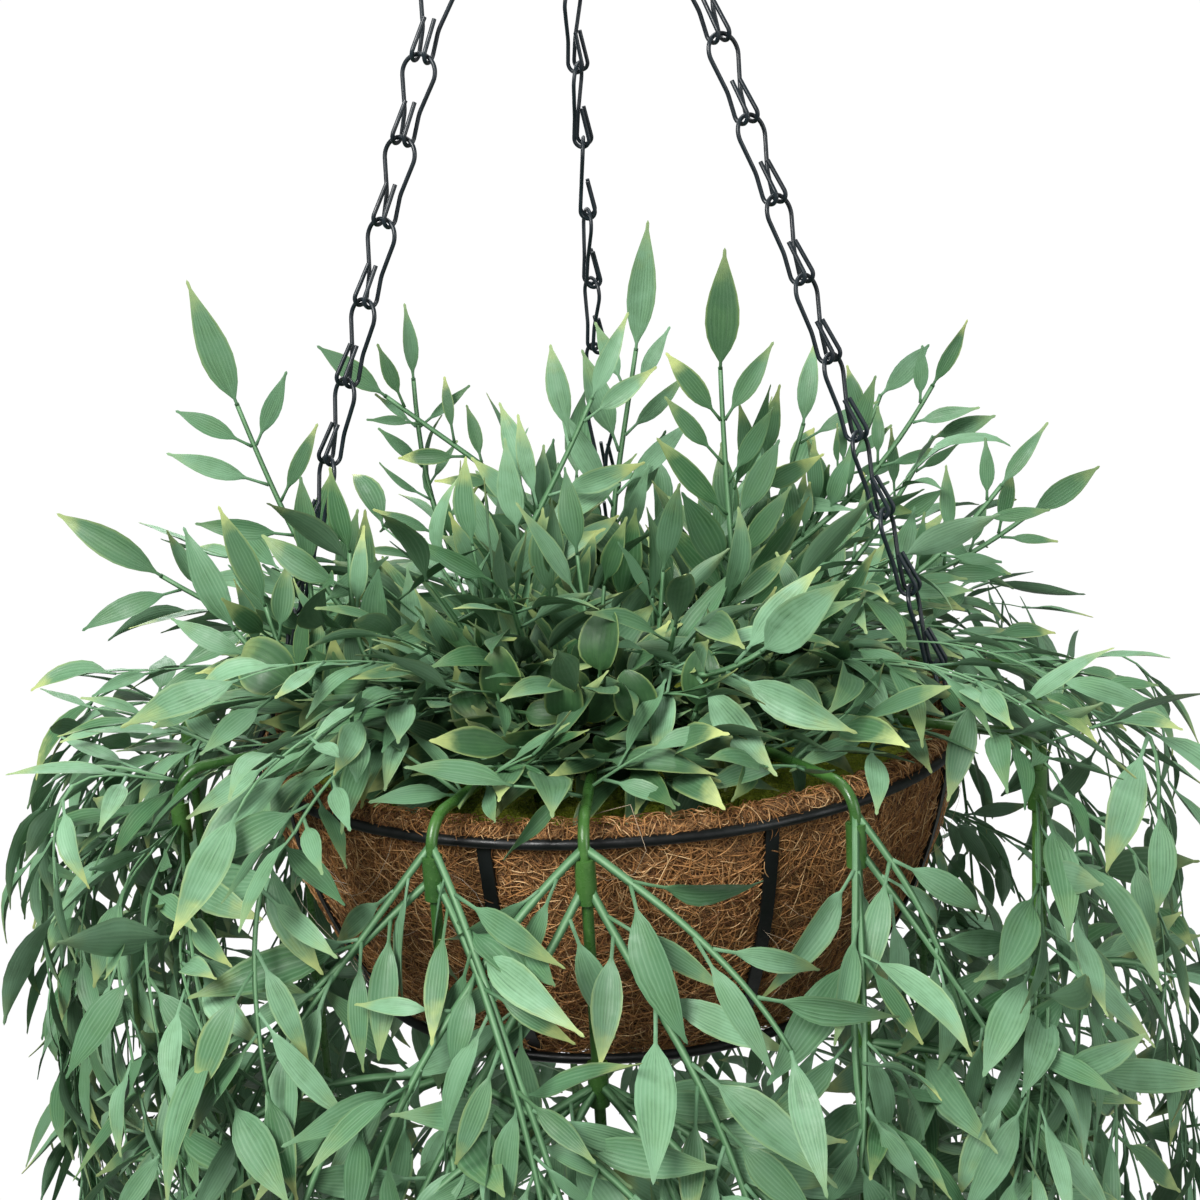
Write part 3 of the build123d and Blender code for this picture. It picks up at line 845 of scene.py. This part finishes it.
def crown_plant(number, featured):
    """One bunch standing in the foam: its stem, arching sprigs and upright sprigs."""
    node = f"upright_spray_{number:02d}"
    foot = lowest(node, 0.0004)
    outward, beside = level_directions(foot)
    ground = foam_top(hypot(foot.x, foot.y))
    top = Vector((foot.x, foot.y, ground + TRUNK_HEIGHT))
    plant = Plant()
    trunk = [foot + (top - foot) * (step / 6) for step in range(7)]
    put_tube(plant, trunk, 0.00205)
    front = outward.y < -0.6
    for end, lift, lean, style, *rest in featured:
        pose, hold = rest or ("fan", 0.09)
        path = curve(top, lift, end, lean, hold)
        put_sprig(plant, path, pose, style, style.get("spacing", 0.030), 0.035, 0.0018)
    back = outward.y > 0.25
    count = 5 if front else 4 if back else 6
    for index in range(count):
        swing = (index + 0.5) / count * 2 - 1
        sideways = swing * 0.55 + about(0, 0.12)
        straight = front or index % 3 != 1
        if front:
            lean = between(18, 52)
            length = between(0.065, 0.110)
            sag = between(2.0, 4.0)
        elif straight:
            lean = between(8, 56)
            length = between(0.88, 1.10) * (0.205 - 0.0020 * lean)
            sag = between(1.5, 5.0)
        else:
            lean = between(2, 20)
            length = between(0.20, 0.27)
            sag = between(6.5, 9.5)
        heading = rising(lean, outward + beside * sideways)
        path = grow(top, heading, length, sag, between(-1.5, 1.5))
        style = dict(SAGE, tint=about(0.46, 0.22), size=between(0.9, 1.15))
        # Front bunches: darker, less pale leaves, partly their own colour and partly painted shade.
        if front:
            style = dict(style, deep=0.35, tint=0.3)
        put_sprig(plant, path, "arch", style, 0.025, 0.030)
    for index in range(1 if front or back else 2):
        heading = rising(between(58, 82), outward + beside * between(-1, 1))
        length = between(0.05, 0.075) if front else between(0.06, 0.095)
        path = grow(top, heading, length, 2.0, between(-2, 2))
        style = dict(SMALL if index % 2 else SAGE, tint=about(0.45, 0.2))
        put_sprig(plant, path, "rise", style, 0.023, 0.03, 0.0014)
    for index in range(4 if front else 3 if outward.y < -0.1 else 2):
        turn = between(-1.2, 1.2)
        heading = (outward * cos(turn) + beside * sin(turn)) * 0.8 + UP * between(0.1, 0.8)
        length = between(0.035, 0.060) if front else between(0.05, 0.09)
        path = grow(top, heading, length, 3.0)
        put_sprig(plant, path, "arch", ROUND if index % 2 else LOW, 0.019, 0.016, 0.0015)
    for index in range(3):
        heading = rising(between(60, 85), beside * between(-0.6, 0.6) - outward)
        path = grow(top, heading, between(0.035, 0.060), 4.0)
        put_sprig(plant, path, "rise" if index else "arch", LOW, 0.017, 0.014, 0.0014)
    for index in range(4 if number in (8, 11) else 0):
        swing = between(0.0, 0.35) * (-1 if number == 8 else 1)
        heading = rising(between(14, 28), outward + beside * swing)
        path = grow(top, heading, between(0.14, 0.18), between(6.0, 8.0))
        put_sprig(plant, path, "arch", dict(SAGE, tint=about(0.5, 0.2)), 0.024, 0.03)
    made = plant.build(f"foliage_{node}")
    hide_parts(node)
    return made, plant.leaves


# Per bunch, each sprig's end, first direction, lean and style, then its pose and hold if not usual.
FEATURED = {
    1: [((0.054, -0.005, 0.152), (0.012, -0.02, 0.05), (0, 0), DARK),
        ((0.152, 0.04, 0.112), (0.05, 0, 0.04), (0.6, 0), SMALL)],
    2: [((0.132, 0.06, 0.13), (0.03, 0.02, 0.06), (0.4, 0.1), SMALL),
        ((0.188, 0.01, 0.08), (0.06, -0.01, 0.05), (1.4, 0), SMALL),
        ((0.095, 0.05, 0.12), (0.01, 0.01, 0.06), (0.3, 0), SAGE),
        ((0.15, 0.03, 0.136), (0.03, 0, 0.06), (0.6, 0), SMALL),
        ((0.116, 0.04, 0.112), (0.02, 0, 0.06), (0.4, 0), SMALL)],
    3: [((0.02, 0.02, 0.16), (-0.02, -0.01, 0.06), (0.2, 0), PALE),
        ((0.076, 0.04, 0.108), (0, 0, 0.06), (0.25, 0), dict(SAGE, deep=0.3))],
    5: [((0, 0, 0.142), (-0.02, -0.03, 0.05), (0.5, 0), PALE),
        ((-0.028, 0.01, 0.105), (-0.01, 0, 0.05), (-0.1, 0), PALE),
        ((-0.078, 0.03, 0.152), (-0.02, 0, 0.05), (0, 0), dict(SMALL, slim=0.8)),
        ((-0.09, 0.02, 0.146), (0.03, 0, 0.07), (-1.2, 0), dict(SMALL, deep=0.5))],
    6: [((-0.15, 0, 0.148), (-0.06, -0.01, 0.01), (-0.3, 0), TALL),
        ((-0.185, -0.02, 0.08), (-0.05, -0.01, 0.03), (-1.4, 0), SAGE)],
    7: [((-0.118, -0.046, 0.084), (-0.04, -0.03, 0.03), (0.03, 0), dict(TALL, size=0.85, deep=0.4, slim=1.1)),
        ((-0.1, -0.052, 0.092), (-0.02, -0.03, 0.04), (0.1, 0), dict(SAGE, yellow=0.7, spacing=0.022)),
        ((-0.15, -0.05, 0.062), (-0.06, -0.03, 0.02), (-0.7, 0), SAGE),
        ((-0.136, -0.052, 0.072), (-0.05, -0.04, 0.02), (-0.2, 0), DARK),
        ((-0.112, -0.056, 0.062), (-0.04, -0.03, 0.02), (0.1, 0), ROUND, "arch", 0.09)],
    8: [((-0.12, -0.088, 0.046), (-0.04, -0.02, 0.04), (-1, -0.2),
         dict(ROUND, size=0.8, yellow=0.0), "arch", 0.05)],
    9: [((-0.038, -0.104, 0.04), (-0.01, -0.01, 0.03), (-0.2, -0.2), EAR, "fan", 0.03),
        ((-0.003, -0.098, 0.047), (0, -0.01, 0.03), (0.1, -0.2), EAR, "fan", 0.03),
        ((-0.018, -0.11, 0.034), (0, -0.02, 0.02), (-0.1, -0.3), EAR, "fan", 0.02)],
    10: [((0.012, -0.112, 0.031), (-0.01, -0.02, 0.02), (-0.2, -0.2), EAR, "fan", 0.02),
         ((0.032, -0.108, 0.034), (0, -0.02, 0.03), (0.2, -0.2), EAR, "fan", 0.02),
         ((0.056, -0.126, 0.06), (0, -0.03, 0.05), (1.3, -0.6),
          dict(PALE, size=1.25, tint=1.6, yellow=0.8), "hang", 0.05)],
    11: [((0.168, -0.02, 0.098), (0.05, 0, 0.05), (0.8, 0), SMALL)],
}

grown = [trailing_plant(number) for number in range(1, 13)]
grown += [crown_plant(number, FEATURED.get(number, [])) for number in range(1, 12)]
foliage = [made for made, _ in grown]
leaf_count = sum(count for _, count in grown)
print("leaves", leaf_count, "faces", sum(len(made.data.polygons) for made in foliage))


# ---- liner
def liner_profile():
    """Radius and height of the liner's surface, from the middle of its underside to its floor."""
    shell = []
    count = 26
    for index in range(count + 1):
        z = TURN_Z + 0.002 + (RIM_Z - TURN_Z) * index / count
        shell.append((bowl_radius(z) - RIB_THICKNESS - 0.0005, min(z, RIM_Z + 0.001)))
    foot = shell[0][0] - 0.0095
    outside = [(0.002, BASE_Z)] + [(foot * share, BASE_Z) for share in (0.25, 0.5, 0.75, 0.92)]
    outside += [(foot + 0.004, BASE_Z + 0.0010), (foot + 0.0075, BASE_Z + 0.0036)] + shell
    crest_radius = shell[-1][0]
    rounding = ((-0.0004, 0.0030), (0.0005, 0.0010), (0.0022, 0.0), (0.0055, 0.0), (0.0075, 0.0012),
                (LINER_THICKNESS, 0.0034))
    crest = [(crest_radius - inwards, LIP_Z - down) for inwards, down in rounding]
    inside = [(radius - LINER_THICKNESS, z) for radius, z in reversed(shell)]
    floor = [(inside[-1][0] * share, BASE_Z + LINER_THICKNESS) for share in (0.9, 0.6, 0.3)]
    return np.array(outside + crest + inside + floor + [(0.002, BASE_Z + LINER_THICKNESS)])


class Skin:
    """The liner's surface by distance along its profile and azimuth."""

    def __init__(self, profile):
        gaps = np.hypot(*np.diff(profile, axis=0).T)
        self.run = join([[0.0], np.cumsum(gaps)])
        self.profile = profile
        slope = np.gradient(profile, axis=0)
        slope /= np.linalg.norm(slope, axis=1)[:, None]
        self.normal = np.stack([slope[:, 1], -slope[:, 0]], axis=1)
        self.chains = []
        for name in ("rim_link_right", "rim_link_back", "rim_link_left"):
            low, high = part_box(name)
            self.chains.append(azimuth_of((low + high) / 2))

    def at(self, run, azimuth, height):
        columns = (*self.profile.T, *self.normal.T)
        radius, z, out_r, out_z = [np.interp(run, self.run, column) for column in columns]
        for chain in self.chains:
            gap = np.abs((azimuth - chain + pi) % (2 * pi) - pi) * RIM_RADIUS
            dent = np.clip((0.0105 - gap) / 0.004, 0, 1) * np.clip((z - RIM_Z + 0.012) / 0.004, 0, 1)
            radius = radius - dent * np.clip((radius - RIM_RADIUS + 0.0105) / 0.008, 0, 1) * 0.0062
        radius = radius + out_r * height
        return np.stack([radius * np.cos(azimuth), radius * np.sin(azimuth), z + out_z * height], axis=-1)


skin = Skin(liner_profile())


def lumps(points, scale, seed):
    """Soft unevenness from a few waves that cross each other."""
    source = np.random.default_rng(seed)
    value = np.zeros(len(points))
    for _ in range(14):
        way = source.normal(size=3)
        way *= scale * source.uniform(0.6, 1.7) / np.linalg.norm(way)
        value += np.sin(points @ way + source.uniform(0, 2 * pi))
    return value / 14


def coir_shell():
    """The liner's felt as one closed mesh, uneven and slightly ragged at the lip."""
    columns = 288
    run = np.interp(np.linspace(0, 1, 120), np.linspace(0, 1, len(skin.run)), skin.run)
    rows = len(run)
    grid_run = np.repeat(run, columns)
    grid_turn = np.tile(np.arange(columns) * 2 * pi / columns, rows)
    still = skin.at(grid_run, grid_turn, np.zeros(rows * columns))
    height = 0.00040 * lumps(still, 900.0, 1) + 0.0009 * lumps(still, 180.0, 2)
    lip = np.clip((still[:, 2] - RIM_Z - 0.001) / 0.003, 0, 1)
    height += lip * 0.0022 * lumps(still, 420.0, 3) - 0.0007
    points = list(skin.at(grid_run, grid_turn, height))
    return new_object("coir_felt", points, tube_faces(rows, columns, True), COIR)


def fibres(name, count, low, high, reach, thickness, proud, look, wander):
    """Loose strands that lie on the liner between two heights along its profile."""
    steps = 7
    run = dice.uniform(low, high, count)
    turn = dice.uniform(0, 2 * pi, count)
    way = dice.uniform(0, 2 * pi, count)
    bend = dice.normal(0, wander, count)
    span = dice.uniform(*reach, count) / (steps - 1)
    half = dice.uniform(*thickness, count)
    base = dice.uniform(-0.0002, proud, count)
    bow = dice.uniform(0.0, proud, count)
    spine = []
    for step in range(steps):
        share = step / (steps - 1)
        height = base + bow * np.sin(pi * share) * 1.2 - 0.0002
        spine.append(skin.at(run, turn, height))
        radius = np.maximum(np.interp(run, skin.run, skin.profile[:, 0]), 0.02)
        run = np.clip(run + np.cos(way) * span, 0.001, skin.run[-1] - 0.001)
        turn = turn + np.sin(way) * span / radius
        way = way + bend / (steps - 1) * 2
    spine = np.array(spine)
    ahead = np.gradient(spine, axis=0)
    ahead /= np.linalg.norm(ahead, axis=2)[:, :, None] + 1e-12
    axis = np.array([0.31, 0.52, 0.79])
    first = np.cross(ahead, axis)
    first /= np.linalg.norm(first, axis=2)[:, :, None] + 1e-12
    second = np.cross(ahead, first)
    rings = []
    for step in range(1, steps - 1):
        for side in range(3):
            turn = 2 * pi * side / 3
            offset = first[step] * cos(turn) + second[step] * sin(turn)
            rings.append(spine[step] + offset * half[:, None])
    points = np.stack([spine[0], *rings, spine[-1]], axis=1)
    each = points.shape[1]
    pattern = [[0, 1 + (side + 1) % 3, 1 + side] for side in range(3)]
    for step in range(steps - 3):
        near = 1 + step * 3
        for side in range(3):
            after = (side + 1) % 3
            pattern.append([near + side, near + after, near + 3 + after, near + 3 + side])
    last = 1 + (steps - 3) * 3
    pattern += [[last + side, last + (side + 1) % 3, each - 1] for side in range(3)]
    faces = [[index + number * each for index in face] for number in range(count) for face in pattern]
    shade = np.repeat(np.clip(dice.normal(0.45, 0.25, count), 0, 1), each)
    return new_object(name, list(points.reshape(-1, 3)), faces, look, {"shade": shade})


def run_at(z, outer=True):
    """Distance along the profile at this height, on the outside or the inside."""
    heights = skin.profile[:, 1]
    crest = int(np.argmax(heights))
    if outer:
        return float(np.interp(z, heights[:crest + 1], skin.run[:crest + 1]))
    return float(np.interp(-z, -heights[crest:], skin.run[crest:]))


SIDE_HALF = (0.00011, 0.00023)          # half thicknesses of the side's fibres
side_low = run_at(TURN_Z - 0.002)
side_high = run_at(RIM_Z - 0.001)
lip_low = run_at(RIM_Z)
lip_high = run_at(RIM_Z - 0.006, outer=False)
floor_in = run_at(FOAM_EDGE - 0.01, outer=False)
felt = coir_shell()
coir_pieces = [
    felt,
    fibres("coir_side_a", 6200, side_low, side_high, (0.008, 0.026), SIDE_HALF, 0.0008, FIBRE, 0.7),
    fibres("coir_side_b", 6200, side_low, side_high, (0.008, 0.026), SIDE_HALF, 0.0008, FIBRE, 0.7),
    fibres("coir_side_c", 6200, side_low, side_high, (0.006, 0.016), SIDE_HALF, 0.0010, FIBRE, 0.5),
    fibres("coir_lip", 5200, lip_low, lip_high, (0.005, 0.016), (0.00012, 0.00024), 0.0017, FIBRE, 1.1),
    fibres("coir_inside", 1500, lip_high, floor_in, (0.01, 0.03), (0.00013, 0.00024), 0.001, FIBRE, 1.0),
    fibres("coir_base", 1800, 0.03, side_low, (0.01, 0.034), (0.00013, 0.00026), 0.0007, FIBRE, 1.0),
    fibres("coir_hairs", 60, side_low, lip_low, (0.03, 0.07), (0.00007, 0.00011), 0.0045, HAIR, 1.2),
]
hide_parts("coir_liner")


# ---- foam
def foam_body():
    """The foam block: crowned, crumbly on top and open-celled."""
    columns = 220
    shares = np.linspace(0.004, 1.0, 90)
    wall = RIM_RADIUS - 0.0125
    rows = []
    for share in shares:
        rows.append((wall * share, foam_top(wall * share)))
    for z in np.linspace(FOAM_EDGE - 0.002, foam_low.z + 0.012, 24):
        rows.append((bowl_radius(z) - RIB_THICKNESS - LINER_THICKNESS - 0.0016, z))
    rows.append((rows[-1][0] - 0.006, foam_low.z + 0.003))
    rows += [(rows[-1][0] * share, foam_low.z + 0.001) for share in (0.9, 0.5, 0.004)]
    turns = np.arange(columns) * 2 * pi / columns
    points = []
    for radius, z in rows:
        ring = [radius * np.cos(turns), radius * np.sin(turns), np.full(columns, z)]
        points.append(np.stack(ring, axis=1))
    points = join(points)
    rough = 0.0016 * lumps(points, 1500.0, 7) + 0.0022 * lumps(points, 420.0, 8) - 0.0009
    top = np.arange(len(points)) < 90 * columns
    points[:, 2] += np.where(top, rough * 1.6, 0)
    return new_object("foam_cells", list(points), tube_faces(len(rows), columns), FOAM)


foam = foam_body()
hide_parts("foam_block")

# ---- looks of the designed parts
for name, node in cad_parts.items():
    if name.startswith("trailing_stem") or name == "sprig_collars":
        look = STEM
    elif name.startswith(("chain", "rim_link", "gather", "top_hook")):
        look = CHAIN
    else:
        look = WIRE
    node.data.materials.clear()
    node.data.materials.append(look)

basket = "basket"
for made in foliage:
    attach(made, basket)
for made in coir_pieces:
    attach(made, basket)
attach(foam, basket)

# ---- camera, light and floor
CAMERA_DISTANCE = 0.7386
CAMERA_ELEVATION = radians(16.47)
CAMERA_TILT = radians(12.356)        # below the horizon
CAMERA_PAN = radians(0.147)
CAMERA_ROLL = radians(3.315)

scene = bpy.context.scene
lens = bpy.data.cameras.new("camera")
lens.sensor_width = 36.0
lens.lens = 50.2
camera = bpy.data.objects.new("camera", lens)
camera.location = (0, -CAMERA_DISTANCE * cos(CAMERA_ELEVATION),
                   RIM_Z + CAMERA_DISTANCE * sin(CAMERA_ELEVATION))
aim = Quaternion(UP, CAMERA_PAN) @ Quaternion((1, 0, 0), pi / 2 - CAMERA_TILT)
camera.rotation_mode = "QUATERNION"
camera.rotation_quaternion = aim @ Quaternion((0, 0, 1), -CAMERA_ROLL)
scene.collection.objects.link(camera)
scene.camera = camera


def area_light(name, place, aim_at, size, power, colour=(1, 1, 1)):
    light = bpy.data.lights.new(name, "AREA")
    light.shape = "DISK"
    light.size = size
    light.energy = power
    light.color = colour
    made = bpy.data.objects.new(name, light)
    made.location = place
    made.rotation_euler = (Vector(aim_at) - Vector(place)).to_track_quat("-Z", "Y").to_euler()
    made.visible_camera = False
    scene.collection.objects.link(made)
    return made


middle = (0, 0, RIM_Z)
COOL = (0.97, 0.99, 1.0)
area_light("key", (-0.7, -1.1, RIM_Z + 1.1), middle, 0.8, 36.0, (1.0, 0.99, 0.98))
area_light("fill", (1.2, -0.9, RIM_Z + 0.4), middle, 1.0, 8.0, COOL)
area_light("top", (0.1, 0.5, RIM_Z + 1.5), middle, 1.0, 14.0, COOL)
area_light("back", (-0.5, 1.5, RIM_Z + 0.6), middle, 1.0, 9.0, COOL)

world = bpy.data.worlds.new("studio")
world.use_nodes = True
sky = world.node_tree
sky.nodes.clear()
seen = add(sky, "ShaderNodeLightPath", "Is Camera Ray")
glow = add(sky, "ShaderNodeBackground", 0, Color=(1, 1, 1, 1), Strength=seen * 0.71 + 0.31)
world_end = sky.nodes.new("ShaderNodeOutputWorld")
plug(sky, glow, world_end.inputs["Surface"])
scene.world = world
scene.view_settings.view_transform = "Standard"

FLOOR_Z = cad_low.z - 0.20
FLOOR_RADIUS = 0.42
turns = [2 * pi * index / 96 for index in range(96)]
disc = [(FLOOR_RADIUS * cos(turn), FLOOR_RADIUS * sin(turn), FLOOR_Z) for turn in turns]
look = Look("floor")
paint = look.finish(mix(look.noise(8.0), (0.80, 0.80, 0.79), (0.84, 0.84, 0.83)),
                    look.noise(20.0).spread(0.2, 0.8, 0.75, 0.9), look.noise(300.0), 0.0002)
floor = new_object("floor", disc, [list(range(96))], paint, smooth=False)
